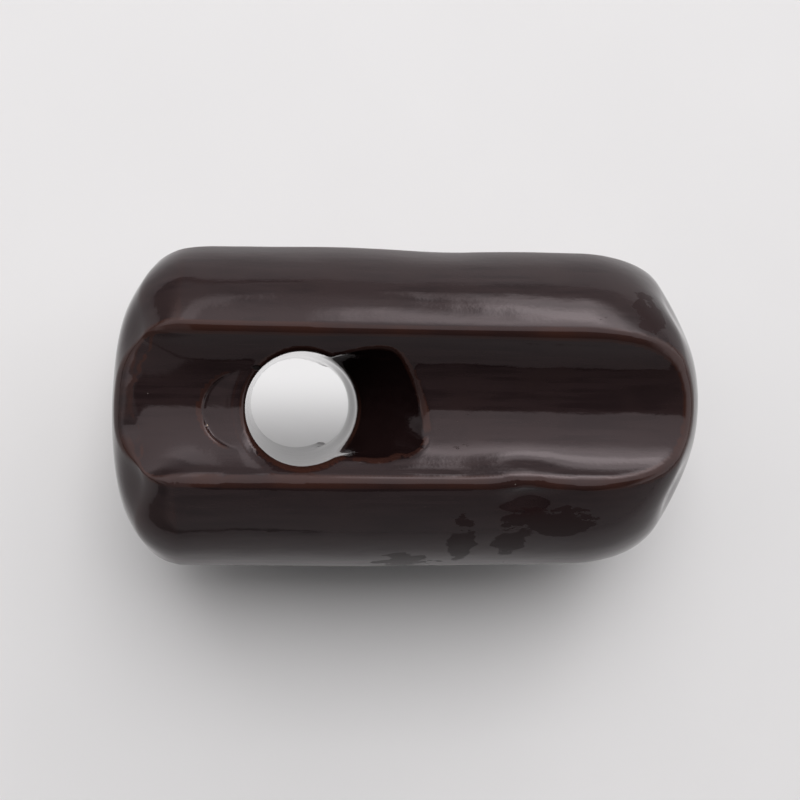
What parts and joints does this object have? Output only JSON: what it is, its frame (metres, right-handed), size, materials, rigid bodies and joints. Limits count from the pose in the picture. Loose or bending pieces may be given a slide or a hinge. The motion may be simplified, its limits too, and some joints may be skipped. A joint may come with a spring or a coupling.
{
  "type": "guy strain insulator",
  "caption": "Brown glazed porcelain guy strain insulator with two crossed wire holes, each opening into a saddle and a channel, so that two interlocked guy loops squeeze it.",
  "frame": {"origin": "middle of the body, on its long axis, half way between the two ends", "axes": "+X along the body from the unglazed firing face to the domed end; +Z along wire hole A, the hole nearer the firing face; +Y along wire hole B, the hole nearer the domed end"},
  "size_m": [0.1399, 0.0756, 0.0756],
  "materials": {
    "porcelain": "matt fired clay body",
    "brown_glaze": "gloss"
  },
  "bodies": {
    "root": {"porcelain_core": "porcelain", "glaze_coat": "brown_glaze"}
  },
  "joints": []
}
